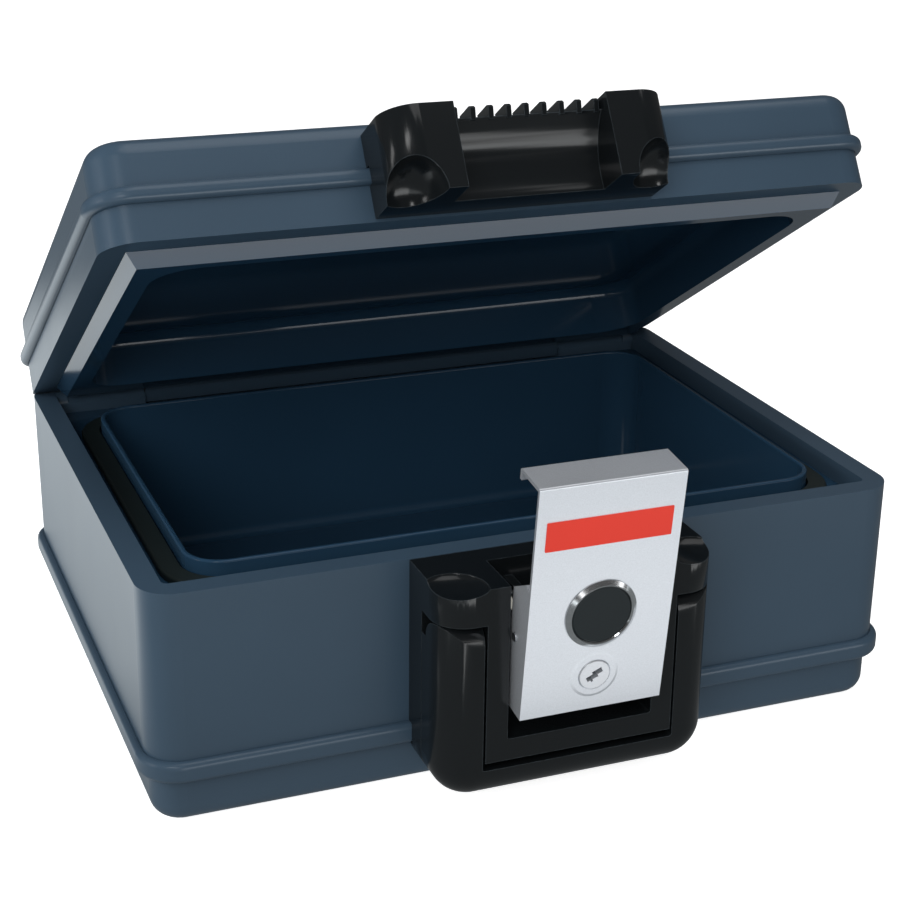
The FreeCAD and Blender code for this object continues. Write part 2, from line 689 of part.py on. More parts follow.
def make_escutcheon():
    """Black front plate with a centre frame around the latch and a pivot block at each side."""
    plate = slab(
        front_span(GAP, PLATE_PROUD),
        (-FRONT_HALF, FRONT_HALF),
        (FRONT_FOOT, BASE_TOP - GAP),
        (FOOT_CORNER, FOOT_CORNER, None, None),
        role="XZ_Plane",
    )
    blocks = slab(
        (BLOCK_FOOT, BASE_TOP - GAP),
        (-FRONT_HALF, FRONT_HALF),
        (FACE - FRONT_PROUD, FACE - GAP),
        (FRONT_ROUND, FRONT_ROUND, None, None),
    )
    frame = slab(
        front_span(PLATE_PROUD - 1, FRONT_PROUD),
        (-FRAME_HALF, FRAME_HALF),
        (FRAME_FOOT, BASE_TOP - GAP),
        SQUARE,
        role="XZ_Plane",
    )
    recess = slab(
        front_span(RECESS_FLOOR, FRONT_PROUD + BEYOND),
        (-RECESS_HALF, RECESS_HALF),
        (RECESS_FOOT, BASE_TOP + BEYOND),
        (1, 1, None, None),
        role="XZ_Plane",
    )
    bead = block(
        (-FRONT_HALF - 1, FRONT_HALF + 1),
        (FACE - BEAD_PROUD - 2 * GAP, FACE),
        (PAN_TOP - BEAD_WIDTH - 2 * GAP, PAN_TOP + 2 * GAP),
    )

    def thumb_scoop(side):
        return scoop(side * BLOCK_MIDDLE, FACE - FRONT_PROUD + 6, BASE_TOP, 14.2, 15, 4)

    def pivot_hole(side):
        reach = side_span(side, RECESS_HALF + 5, FRAME_HALF + 1)
        return rod("x", reach, PIVOT_Y, PIVOT_Z, PIVOT_PIN + RUNNING)

    tools = [recess, bead] + both_sides(thumb_scoop) + both_sides(pivot_hole)
    tools += screw_holes(escutcheon_screw_places())
    housing = cut(fuse([plate, blocks, frame]), tools)

    def lug(side):
        reach = side_span(side, LUG_MIDDLE - LUG_THICK / 2, LUG_MIDDLE + LUG_THICK / 2)
        root = block(reach, (LINK_Y, FACE - RECESS_FLOOR + 1), (LINK_Z - LINK_EYE, LINK_Z + LINK_EYE))
        return fuse([root, rod("x", reach, LINK_Y, LINK_Z, LINK_EYE)])

    reach = LUG_MIDDLE + LUG_THICK
    link_hole = rod("x", (-reach, reach), LINK_Y, LINK_Z, LATCH_PIN + RUNNING)
    return cut(fuse([housing] + both_sides(lug)), [link_hole], "escutcheon")


def make_handle():
    """U-shaped carrying handle whose arms hang under the pivot blocks."""
    back = PLATE_PROUD + 2.5 * GAP
    boss = FRONT_PROUD - PIVOT_PROUD
    arm_top = PIVOT_Z + boss
    grip = slab(
        front_span(back, FRONT_PROUD),
        (-FRONT_HALF, FRONT_HALF),
        (FRONT_FOOT, arm_top),
        (FOOT_CORNER, FOOT_CORNER, None, None),
        role="XZ_Plane",
    )
    front = (FACE - FRONT_PROUD).value
    top = arm_top.value

    def outer_front(box, edge):
        in_front = abs(box.YMin - front) < TOUCH and abs(box.YMax - front) < TOUCH
        across_top = box.ZMin > top - TOUCH
        return in_front and not across_top

    round_edges(grip, FRONT_ROUND, outer_front)
    between = slab(
        front_span(back - 1, FRONT_PROUD + 1),
        (-HANDLE_INNER, HANDLE_INNER),
        (HANDLE_BAR_TOP, arm_top + BEYOND),
        (1, 1, None, None),
        role="XZ_Plane",
    )
    crown = block(
        (-FRONT_HALF - 1, FRONT_HALF + 1),
        (FACE - FRONT_PROUD - 1, FACE - back + 1),
        (PIVOT_Z, arm_top + 1),
    )
    barrel = rod("x", (-FRONT_HALF - 2, FRONT_HALF + 2), PIVOT_Y, PIVOT_Z, boss)
    above_barrel = cut(crown, [barrel])

    def pivot_hole(side):
        reach = side_span(side, HANDLE_INNER - 1, FRONT_HALF - 4.5)
        return rod("x", reach, PIVOT_Y, PIVOT_Z, PIVOT_PIN + RUNNING)

    return cut(grip, [between, above_barrel] + both_sides(pivot_hole), "handle")


def make_handle_pivot_pins():
    """Two steel pins that the handle's arms turn on."""
    def pin(side):
        reach = side_span(side, RECESS_HALF + 5.5, FRONT_HALF - 5)
        return rod("x", reach, PIVOT_Y, PIVOT_Z, PIVOT_PIN)

    group = doc.addObject("Part::Compound", "handle_pivot_pins")
    group.Links = both_sides(pin)
    return group


# ---------------------------------------------------------------- latch

def make_latch_plate():
    """Silver channel: face, top hook with a turned-down lip, and two side flanges."""
    foot = LATCH_TOP - LATCH_LENGTH
    hook_back = LATCH_FACE + HOOK_DEPTH
    whole = (-LATCH_HALF, LATCH_HALF)
    face = block(whole, (LATCH_FACE, LATCH_FACE + LATCH_SHEET), (foot, LATCH_TOP))
    hook = block(whole, (LATCH_FACE, hook_back), (LATCH_TOP - LATCH_SHEET, LATCH_TOP))
    lip = block(whole, (hook_back - LATCH_SHEET, hook_back), (LATCH_TOP - HOOK_LIP, LATCH_TOP))

    def flange(side):
        return prism(
            side_span(side, LATCH_HALF - LATCH_SHEET, LATCH_HALF),
            (
                (LATCH_FACE, foot),
                (LATCH_FACE + FLANGE_DEPTH, foot),
                (LATCH_FACE + FLANGE_DEPTH, LATCH_TOP - FLANGE_BACK_DROP),
                (LATCH_FACE + FLANGE_PEAK, LATCH_TOP - FLANGE_DROP),
                (LATCH_FACE, LATCH_TOP - FLANGE_DROP - 1.5 * LATCH_SHEET),
            ),
        )

    raw = fuse([face, hook, lip] + both_sides(flange))
    reach = (LATCH_FACE - 1, LATCH_FACE + LATCH_SHEET + 1)
    button_hole = rod("y", reach, 0, BUTTON_Z, BEZEL - 1)
    lock_hole = rod("y", reach, 0, LOCK_Z, LOCK + RUNNING)
    across = LATCH_HALF + 1
    pin_hole = rod("x", (-across, across), LATCH_PIN_Y, LATCH_PIN_Z, LATCH_PIN + RUNNING)
    drilled = cut(raw, [button_hole, lock_hole, pin_hole])
    latch = doc.addObject("Part::Fillet", "latch_plate")
    latch.Base = drilled
    latch.Edges = [(number, 1.0, 1.0) for number in latch_bends(drilled.Shape)]
    return latch


def latch_bends(shape):
    """Numbers of the outer edges where the latch's metal is folded."""
    face = LATCH_FACE.value
    hook_back = (LATCH_FACE + HOOK_DEPTH).value
    top = LATCH_TOP.value
    side = LATCH_HALF.value
    flange_top = (LATCH_TOP - FLANGE_DROP).value
    found = []
    for number, edge in enumerate(shape.Edges, 1):
        box = edge.BoundBox
        level = abs(box.ZMin - top) < TOUCH and abs(box.ZMax - top) < TOUCH
        lengthwise = box.XLength > side
        front_fold = level and lengthwise and abs(box.YMin - face) < TOUCH
        back_fold = level and lengthwise and abs(box.YMin - hook_back) < TOUCH
        upright = box.ZLength > side and abs(abs(box.XMin) - side) < TOUCH
        side_fold = upright and abs(box.YMax - face) < TOUCH and box.ZMax < flange_top + TOUCH
        if front_fold or back_fold or side_fold:
            found.append(number)
    return found


def link_place():
    """Inner and outer distance of a link from the middle plane, just inside the latch's sides."""
    outer = LATCH_HALF - LATCH_SHEET - GAP
    return (outer - 2.4, outer)


def make_latch_links():
    """Two flat arms that swing out of the recess and carry the latch."""
    inner, outer = link_place()
    ends = ((LINK_Y, LINK_Z), (LATCH_PIN_Y, LATCH_PIN_Z))
    run = (LATCH_PIN_Y - LINK_Y).value
    drop = (LATCH_PIN_Z - LINK_Z).value
    length = math.hypot(run, drop)
    aside_y = LINK_EYE * (drop / length)
    aside_z = LINK_EYE * (run / length)

    def link(side):
        reach = side_span(side, inner, outer)
        web = prism(
            reach,
            (
                (LINK_Y + aside_y, LINK_Z - aside_z),
                (LINK_Y - aside_y, LINK_Z + aside_z),
                (LATCH_PIN_Y - aside_y, LATCH_PIN_Z + aside_z),
                (LATCH_PIN_Y + aside_y, LATCH_PIN_Z - aside_z),
            ),
        )
        eyes = [rod("x", reach, y, z, LINK_EYE) for y, z in ends]
        holes = [rod("x", reach, y, z, LATCH_PIN + RUNNING) for y, z in ends]
        return cut(fuse([web] + eyes), holes)

    group = doc.addObject("Part::Compound", "latch_links")
    group.Links = both_sides(link)
    return group


def make_link_pivot_pin():
    """Fixed steel pin through the recess's two lugs that the links swing on."""
    reach = LATCH_HALF - LATCH_SHEET - GAP / 2
    return rod("x", (-reach, reach), LINK_Y, LINK_Z, LATCH_PIN, "link_pivot_pin")


def make_latch_pivot_pin():
    """Steel pin that joins the latch to its links."""
    reach = LATCH_HALF + 0.6
    return rod("x", (-reach, reach), LATCH_PIN_Y, LATCH_PIN_Z, LATCH_PIN, "latch_pivot_pin")


def make_latch_spring():
    """Torsion coil on the latch's pin that tips the released latch outwards."""
    radius = LATCH_PIN + SPRING_WIRE + 2 * GAP
    start = SPRING_WIRE + GAP - link_place()[0]
    axis = (LATCH_PIN_Y, LATCH_PIN_Z)
    return coil("latch_spring", "x", start, axis, radius, 3 * SPRING_WIRE, 9)


def make_latch_label():
    """Thin plain panel stuck to the latch's face."""
    top = LATCH_TOP - LABEL_DROP
    return slab(
        (-LATCH_FACE, -LATCH_FACE + 0.3),
        (-LABEL_HALF, LABEL_HALF),
        (top - LABEL_HEIGHT, top),
        0.4,
        role="XZ_Plane",
        label="latch_label",
    )


def make_button_bezel():
    """Bevelled ring around the push button."""
    bore = BUTTON + 1.6 * RUNNING
    crest = LATCH_FACE - 1.7
    back = LATCH_FACE + LATCH_SHEET + 2
    shank = BEZEL - 1 - RUNNING
    return turned(
        (
            (back, bore),
            (crest + 0.5, bore),
            (crest, bore + 0.4),
            (crest, bore + 0.9),
            (LATCH_FACE - 0.5, BEZEL - 0.2),
            (LATCH_FACE, BEZEL),
            (LATCH_FACE, shank),
            (back, shank),
        ),
        BUTTON_Z,
        "button_bezel",
    )


def make_button_cap():
    """Round push button with its guide stem."""
    front = LATCH_FACE - 1.5
    return turned(
        (
            (front, 0),
            (front, BUTTON - 0.6),
            (front + 0.5, BUTTON),
            (LATCH_FACE + BUTTON_BACK, BUTTON),
            (LATCH_FACE + BUTTON_BACK, STEM),
            (LATCH_FACE + GUIDE_BACK, STEM),
            (LATCH_FACE + GUIDE_BACK, 0),
        ),
        BUTTON_Z,
        "button_cap",
    )


def make_button_guide():
    """Bridge inside the latch that guides the stem and backs the button's spring."""
    heights = (BUTTON_Z - 9, BUTTON_Z + 4.8)
    front = LATCH_FACE + LATCH_SHEET
    back = LATCH_FACE + GUIDE_BACK
    plate = block((-GUIDE_HALF, GUIDE_HALF), (back - LATCH_SHEET, back), heights)

    def leg(side):
        return block(side_span(side, GUIDE_HALF - LATCH_SHEET, GUIDE_HALF), (front, back), heights)

    bore = rod("y", (back - LATCH_SHEET - 1, back + 1), 0, BUTTON_Z, STEM + RUNNING)
    return cut(fuse([plate] + both_sides(leg)), [bore], "button_guide")


def make_button_spring():
    """Coil that pushes the button out again."""
    ends = SPRING_WIRE + GAP
    start = LATCH_FACE + BUTTON_BACK + ends
    length = GUIDE_BACK - LATCH_SHEET - BUTTON_BACK - 2 * ends
    return coil("button_spring", "y", start, (0, BUTTON_Z), STEM * 1.4, 5 * SPRING_WIRE, length)


def make_lock_barrel():
    """Lock body through the latch's face."""
    bore = PLUG + RUNNING
    flange = LOCK + 2.4
    return turned(
        (
            (LATCH_FACE, bore),
            (LATCH_FACE - 0.25, bore + 0.3),
            (LATCH_FACE - 0.25, flange - 1.2),
            (LATCH_FACE, flange),
            (LATCH_FACE, LOCK),
            (LATCH_FACE + LOCK_BACK, LOCK),
            (LATCH_FACE + LOCK_BACK, bore),
        ),
        LOCK_Z,
        "lock_barrel",
    )


def make_lock_plug():
    """Key plug that turns in the lock body, with its stepped keyway."""
    front = LATCH_FACE - 0.6
    back = LATCH_FACE + LOCK_BACK + GAP
    plug = turned(
        ((front, 0), (front, PLUG - 0.4), (front + 0.4, PLUG), (back, PLUG), (back, 0)),
        LOCK_Z,
    )
    reach = (front - 1, LATCH_FACE + 12)
    keyway = fuse([
        block((-4, 0.5), reach, (-1.6, 0.8)),
        block((-0.6, 4), reach, (-0.5, 2)),
        block((-2.6, -1.6), reach, (-2.6, -1.2)),
        block((0.3, 1.3), reach, (-1.7, 0)),
    ])
    turn = FreeCAD.Rotation(FreeCAD.Vector(0, -1, 0), KEYWAY_ANGLE.value)
    keyway.Placement = FreeCAD.Placement(FreeCAD.Vector(0, 0, LOCK_Z.value), turn)
    return cut(plug, [keyway], "lock_plug")


def make_lock_cam():
    """Locking tongue on the plug's back end."""
    front = LATCH_FACE + LOCK_BACK + GAP
    return slab(
        (-front - LATCH_SHEET, -front),
        (-4, 4),
        (LOCK_Z - 5, LOCK_Z + 13),
        2,
        role="XZ_Plane",
        label="lock_cam",
    )


def make_lock_nut():
    """Hexagon nut that clamps the lock body to the latch."""
    nut = doc.addObject("Part::Prism", helper_name("hexagon"))
    nut.Polygon = 6
    bind(nut, "Circumradius", LOCK + 4)
    bind(nut, "Height", 3)
    nut.Placement.Rotation = FreeCAD.Rotation(FreeCAD.Vector(1, 0, 0), -90)
    front = LATCH_FACE + LATCH_SHEET + GAP / 2
    bind(nut, "Placement.Base.y", front)
    bind(nut, "Placement.Base.z", LOCK_Z)
    bore = rod("y", (front - 1, front + 4), 0, LOCK_Z, LOCK + RUNNING)
    return cut(nut, [bore], "lock_nut")


# ---------------------------------------------------------------- lid

def make_lid_skirt():
    """Lower wall of the lid with its flat rim, bevelled back and middle hinge knuckle."""
    wall = body_outline((BASE_TOP, SKIRT_TOP), 0)
    hollow = slab(
        (BASE_TOP + WALL, SKIRT_TOP + 1),
        (-SIDE + WALL, SIDE - WALL),
        (FACE + WALL, LID_BACK_INNER),
        (CORNER - WALL, CORNER - WALL, None, None),
    )
    opening = slab(
        (BASE_TOP - 1, BASE_TOP + WALL + 1),
        (-TONGUE_SIDE - GAP, TONGUE_SIDE + GAP),
        (-TONGUE_FRONT - GAP, TONGUE_BACK + GAP),
        SQUARE,
    )
    rise = BACK + 1 - HINGE_Y
    bevel = prism(
        (-SIDE - BEYOND, SIDE + BEYOND),
        (
            (HINGE_Y, BASE_TOP),
            (HINGE_Y, BASE_TOP - 1),
            (HINGE_Y + rise, BASE_TOP - 1),
            (HINGE_Y + rise, BASE_TOP + rise),
        ),
    )
    low_screws = screw_holes(lid_screw_places()[:2])
    carcass = cut(wall, [hollow, opening, bevel] + low_screws)
    neck_back = HINGE_Y + 0.8
    neck_top = BASE_TOP + 1.2
    knuckle = prism(
        (-LID_KNUCKLE_HALF, LID_KNUCKLE_HALF),
        (
            (HINGE_Y - KNUCKLE, neck_top),
            (HINGE_Y - KNUCKLE, HINGE_Z),
            (HINGE_Y, HINGE_Z - KNUCKLE),
            (HINGE_Y + KNUCKLE, HINGE_Z),
            (neck_back, HINGE_Z + KNUCKLE - 0.8),
            (neck_back, neck_top),
        ),
    )
    return cut(fuse([carcass, knuckle]), [hinge_bore()], "lid_skirt")


def make_lid_cover():
    """Top cap of the lid with the rounded bead that holds the skirt."""
    bead_top = CAP_BOTTOM + CAP_BEAD
    cap = body_outline((bead_top - WALL, LID_TOP), 0)
    round_edges(cap, CAP_EDGE, at_height(LID_TOP))
    bead = body_outline((CAP_BOTTOM, bead_top), BEAD_PROUD)
    round_edges(bead, BEAD_ROUND, at_height(CAP_BOTTOM))
    round_edges(bead, BEAD_ROUND, at_height(bead_top))
    hollow = body_outline((CAP_BOTTOM + 1, LID_TOP - WALL), -WALL)
    round_edges(hollow, CAP_EDGE - WALL, at_height(LID_TOP - WALL))
    seat = body_outline((CAP_BOTTOM - 1, SKIRT_TOP + GAP / 2), GAP)
    high_screws = screw_holes(lid_screw_places()[2:])
    return cut(fuse([cap, bead]), [hollow, seat] + high_screws, "lid_cover")


def make_lid_insulation():
    """Cast fire-resistant filling between the lid's outside and its liner."""
    front = WALL + SCREW_HEAD + GAP
    filling = slab(
        (BASE_TOP + WALL + GAP, LID_TOP - WALL - GAP),
        (-SIDE + front, SIDE - front),
        (FACE + front, LID_BACK_INNER - GAP),
        CORNER - front,
    )
    round_edges(filling, CAP_EDGE - WALL, at_height(LID_TOP - WALL - GAP))
    room = lip_outline((BASE_TOP, CAVITY_CEILING + SKIN + GAP), 2 + SKIN + GAP)
    return cut(filling, [room], "lid_insulation")


def make_lid_liner():
    """Ceiling of the document cavity with the sloped tongue that drops inside the rim."""
    plate = slab(
        (BASE_TOP, BASE_TOP + WALL),
        (-TONGUE_SIDE, TONGUE_SIDE),
        (-TONGUE_FRONT, TONGUE_BACK),
        SQUARE,
    )
    reduction = TONGUE_DEPTH * math.tan(math.radians(TONGUE_SLOPE.value))
    tongue = slab(
        (BASE_TOP - TONGUE_DEPTH, BASE_TOP),
        (-TONGUE_SIDE + reduction, TONGUE_SIDE - reduction),
        (-TONGUE_FRONT + reduction, TONGUE_BACK - reduction),
        SQUARE,
        slope=TONGUE_SLOPE,
    )
    dome = lip_outline((BASE_TOP + 1, CAVITY_CEILING + SKIN), 2 + SKIN)
    round_edges(dome, SKIN * 4, at_height(CAVITY_CEILING + SKIN))
    hollow = lip_outline((BASE_TOP - TONGUE_DEPTH - 1, CAVITY_CEILING), 2)
    round_edges(hollow, SKIN * 3, at_height(CAVITY_CEILING))
    return cut(fuse([plate, tongue, dome]), [hollow], "lid_liner")


def make_lid_housing():
    """Black lid block with two ends, a hollow trough between them and a row of catch fins."""
    front = FACE - HOUSING_PROUD
    whole = slab(
        (HOUSING_FOOT, HOUSING_TOP),
        (-FRONT_HALF, FRONT_HALF),
        (front, FACE - GAP),
        (FRONT_ROUND, FRONT_ROUND, None, None),
    )
    across = (-TROUGH_HALF, TROUGH_HALF)
    trough = rod("x", across, FACE - TROUGH_PROUD, TROUGH_Z, TROUGH_RADIUS)
    above_ridge = block(across, (front - 1, FACE), (RIDGE_Z, HOUSING_TOP + 1))
    bead = block(
        (-FRONT_HALF - 1, FRONT_HALF + 1),
        (FACE - BEAD_PROUD - 2 * GAP, FACE + 1),
        (CAP_BOTTOM - 2 * GAP, CAP_BOTTOM + CAP_BEAD + 2 * GAP),
    )

    def thumb_scoop(side):
        return scoop(side * BLOCK_MIDDLE, front + 1.5, HOUSING_FOOT, 13.5, 20.5, 15.5)

    tools = [trough, above_ridge, bead] + both_sides(thumb_scoop)
    tools += screw_holes(lid_screw_places())
    shaped = cut(whole, tools)
    fins = [catch_fin(number) for number in range(-4, 5)]
    return fuse([shaped] + fins, "lid_housing")


def catch_fin(number):
    """One fin of the comb on the ridge: level on top, for the hook's lip to drop in behind."""
    middle = FIN_PITCH * number
    crest = HOUSING_TOP - GAP
    return prism(
        (middle - FIN_THICK / 2, middle + FIN_THICK / 2),
        (
            (FACE - FIN_FRONT, RIDGE_Z - 1),
            (FACE - FIN_BACK, RIDGE_Z - 1),
            (FACE - FIN_BACK, crest),
            (FACE - FIN_FRONT, crest),
            (FACE - FIN_FRONT - 1.4, crest - 1.2),
        ),
    )


# ---------------------------------------------------------------- rest pose

def lid_pose():
    """Turns the shut lid open about the hinge."""
    turn = FreeCAD.Rotation(FreeCAD.Vector(-1, 0, 0), REST_LID_ANGLE.value)
    hinge = FreeCAD.Vector(0, HINGE_Y.value, HINGE_Z.value)
    return FreeCAD.Placement(FreeCAD.Vector(0, 0, 0), turn, hinge)


def link_pose():
    """Swings the latch's links forwards and up about their fixed pin."""
    turn = FreeCAD.Rotation(FreeCAD.Vector(-1, 0, 0), REST_LINK_ANGLE.value)
    pivot = FreeCAD.Vector(0, LINK_Y.value, LINK_Z.value)
    return FreeCAD.Placement(FreeCAD.Vector(0, 0, 0), turn, pivot)


def latch_pose():
    """Tips the latch's top outwards about its pin, after the pin has moved with the links."""
    fastened = FreeCAD.Vector(0, LATCH_PIN_Y.value, LATCH_PIN_Z.value)
    move = link_pose().multVec(fastened) - fastened
    turn = FreeCAD.Rotation(FreeCAD.Vector(1, 0, 0), REST_LATCH_ANGLE.value)
    tipped = FreeCAD.Placement(FreeCAD.Vector(0, 0, 0), turn, fastened)
    return FreeCAD.Placement(move, FreeCAD.Rotation()).multiply(tipped)


def posed(shape_object, pose):
    """Makes the sub-part proper: it takes over the label and carries the rest placement."""
    name = shape_object.Label
    shape_object.Label = name + "_shape"
    sub_part = doc.addObject("Part::Compound", name + "_sub_part")
    sub_part.Label = name
    sub_part.Links = [shape_object]
    sub_part.Placement = pose
    return sub_part


BASE_PARTS = [
    make_base_shell(),
    make_base_bottom_pan(),
    make_base_insulation(),
    make_base_liner(),
    make_base_gasket(),
    make_hinge_pin(),
    make_escutcheon(),
    make_handle(),
    make_handle_pivot_pins(),
    make_link_pivot_pin(),
    screw_set(escutcheon_screw_places(), "escutcheon_screws"),
]
LATCH_PARTS = [
    make_latch_plate(),
    make_latch_label(),
    make_button_bezel(),
    make_button_cap(),
    make_button_guide(),
    make_button_spring(),
    make_lock_barrel(),
    make_lock_plug(),
    make_lock_cam(),
    make_lock_nut(),
]
LINK_PARTS = [
    make_latch_links(),
    make_latch_pivot_pin(),
    make_latch_spring(),
]
LID_PARTS = [
    make_lid_skirt(),
    make_lid_cover(),
    make_lid_insulation(),
    make_lid_liner(),
    make_lid_housing(),
    screw_set(lid_screw_places(), "lid_housing_screws"),
]

still = FreeCAD.Placement()
sub_parts = []
for group, pose in (
    (BASE_PARTS, still),
    (LATCH_PARTS, latch_pose()),
    (LINK_PARTS, link_pose()),
    (LID_PARTS, lid_pose()),
):
    for shape_object in group:
        sub_parts.append(posed(shape_object, pose))
doc.recompute()

for thing in doc.Objects:
    if "Invalid" in thing.State or "Error" in thing.State:
        raise RuntimeError("%s failed to build: %s" % (thing.Name, thing.State))
for sub_part in sub_parts:
    if sub_part.Shape.isNull() or not sub_part.Shape.isValid():
        raise RuntimeError("%s has no valid shape" % sub_part.Label)

os.makedirs("parts", exist_ok=True)
for sub_part in sub_parts:
    sub_part.Shape.exportStep("parts/%s.step" % sub_part.Label)
    print(sub_part.Label, len(sub_part.Shape.Solids), "solids")
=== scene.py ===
import json
import math

import bpy
from mathutils import Matrix, Vector


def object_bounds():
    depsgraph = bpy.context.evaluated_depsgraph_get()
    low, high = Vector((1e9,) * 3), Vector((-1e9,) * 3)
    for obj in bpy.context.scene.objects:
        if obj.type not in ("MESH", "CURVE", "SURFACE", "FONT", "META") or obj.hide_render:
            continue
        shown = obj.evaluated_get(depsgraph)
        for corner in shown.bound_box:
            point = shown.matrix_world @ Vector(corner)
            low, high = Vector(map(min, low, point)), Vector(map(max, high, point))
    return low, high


# Looks for the small fire-resistant document chest: an open slate-blue chest with a black front
# plate and swing handle, a released silver draw latch and a black catch housing on the lid.
# Everything is in metres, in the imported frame: +X right, +Y back, +Z up.

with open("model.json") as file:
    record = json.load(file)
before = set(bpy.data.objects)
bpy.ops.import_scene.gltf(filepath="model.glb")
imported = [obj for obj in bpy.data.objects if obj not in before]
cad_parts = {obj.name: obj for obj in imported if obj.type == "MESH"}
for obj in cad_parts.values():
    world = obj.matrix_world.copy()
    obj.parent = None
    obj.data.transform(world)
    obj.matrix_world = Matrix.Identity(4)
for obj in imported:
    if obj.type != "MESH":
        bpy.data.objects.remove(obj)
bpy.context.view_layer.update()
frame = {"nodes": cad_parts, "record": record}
nodes = frame["nodes"]

MILLIMETRE = 0.001
MICRON = 0.000001
WHITE = (1, 1, 1, 1)
BLACK = (0, 0, 0, 1)


# ---------------------------------------------------------------- shader helpers

def linear(red, green, blue):
    """Turns a colour given in screen levels of 0 to 255 into the light levels shaders use."""
    levels = []
    for level in (red, green, blue):
        share = level / 255
        if share <= 0.04045:
            levels.append(share / 12.92)
        else:
            levels.append(((share + 0.055) / 1.055) ** 2.4)
    return (*levels, 1.0)


class Shader:
    """A material under construction, with short ways to add and join its nodes."""

    def __init__(self, name):
        self.material = bpy.data.materials.new(name)
        self.material.use_nodes = True
        self.tree = self.material.node_tree
        self.surface = self.tree.nodes["Principled BSDF"]
        self.place = self.add("ShaderNodeTexCoord").outputs["Object"]

    def add(self, kind, **settings):
        """Adds a node and sets its own properties."""
        node = self.tree.nodes.new(kind)
        for key, value in settings.items():
            setattr(node, key, value)
        return node

    def feed(self, socket, value):
        """Joins an output to a socket, or sets the socket to a plain value."""
        if isinstance(value, bpy.types.NodeSocket):
            self.tree.links.new(value, socket)
        else:
            socket.default_value = value

    def noise(self, scale, detail, stretch=(1, 1, 1)):
        """Cloudy pattern; scale counts features per metre, detail the finer layers on top."""
        mapping = self.add("ShaderNodeMapping")
        self.feed(mapping.inputs["Vector"], self.place)
        self.feed(mapping.inputs["Scale"], stretch)
        texture = self.add("ShaderNodeTexNoise")
        self.feed(texture.inputs["Vector"], mapping.outputs["Vector"])
        self.feed(texture.inputs["Scale"], scale)
        self.feed(texture.inputs["Detail"], detail)
        return texture.outputs["Fac"]

    def remap(self, value, low, high, start=0.3, end=0.7):
        """Spreads a pattern's middle range over low to high."""
        node = self.add("ShaderNodeMapRange")
        self.feed(node.inputs["Value"], value)
        self.feed(node.inputs["From Min"], start)
        self.feed(node.inputs["From Max"], end)
        self.feed(node.inputs["To Min"], low)
        self.feed(node.inputs["To Max"], high)
        return node.outputs["Result"]

    def mix(self, share, first, second):
        """Mixes two colours; the mix node keeps its colour sockets behind its number sockets."""
        node = self.add("ShaderNodeMix", data_type="RGBA")
        first_colour, second_colour, mixed_colour = node.inputs[6], node.inputs[7], node.outputs[2]
        self.feed(node.inputs["Factor"], share)
        self.feed(first_colour, first)
        self.feed(second_colour, second)
        return mixed_colour

    def blend(self, share, first, second):
        """Mixes two plain numbers or patterns."""
        node = self.add("ShaderNodeMix", data_type="FLOAT")
        self.feed(node.inputs["Factor"], share)
        self.feed(node.inputs["A"], first)
        self.feed(node.inputs["B"], second)
        return node.outputs["Result"]

    def calculate(self, operation, first, second):
        """Joins two numbers or patterns with one sum."""
        node = self.add("ShaderNodeMath", operation=operation)
        self.feed(node.inputs[0], first)
        self.feed(node.inputs[1], second)
        return node.outputs[0]

    def product(self, first, second):
        """Multiplies two numbers or patterns."""
        return self.calculate("MULTIPLY", first, second)

    def sum(self, first, second):
        """Adds two numbers or patterns."""
        return self.calculate("ADD", first, second)

    def shade(self, colour, factor):
        """Darkens or lightens a plain colour."""
        return tuple(min(1.0, part * factor) for part in colour[:3]) + (1.0,)

    def bump(self, height, depth):
        """Raises the surface by a pattern; depth is in metres."""
        node = self.add("ShaderNodeBump")
        self.feed(node.inputs["Height"], height)
        self.feed(node.inputs["Distance"], depth)
        self.feed(node.inputs["Strength"], 1.0)
        return node.outputs["Normal"]

    def edges(self, radius):
        """Gives 0 on flat places and rises to 1 along sharp edges."""
        bevel = self.add("ShaderNodeBevel", samples=4)
        self.feed(bevel.inputs["Radius"], radius)
        geometry = self.add("ShaderNodeNewGeometry")
        facing = self.add("ShaderNodeVectorMath", operation="DOT_PRODUCT")
        self.feed(facing.inputs[0], bevel.outputs["Normal"])
        self.feed(facing.inputs[1], geometry.outputs["Normal"])
        return self.remap(facing.outputs["Value"], 1.0, 0.0, 0.72, 0.995)

    def finish(self, **inputs):
        """Sets the surface's inputs by name and returns the material."""
        for key, value in inputs.items():
            self.feed(self.surface.inputs[key.replace("_", " ")], value)
        return self.material


# Features per metre of the patterns that all plastics share; the speckle breaks up the edges painted
# paler, which are wear and, on the black mouldings, a painted highlight.
COLOUR_CLOUDS = 9
GLOSS_PATCHES = 24
WEAR_AND_HIGHLIGHT_SPECKLE = 420
# Features per metre of the patches in a metal's gloss.
METAL_PATCHES = 35
# Width of the edge band painted paler: wear, and on the black mouldings a painted highlight.
WEAR_AND_HIGHLIGHT_WIDTH = 0.7 * MILLIMETRE


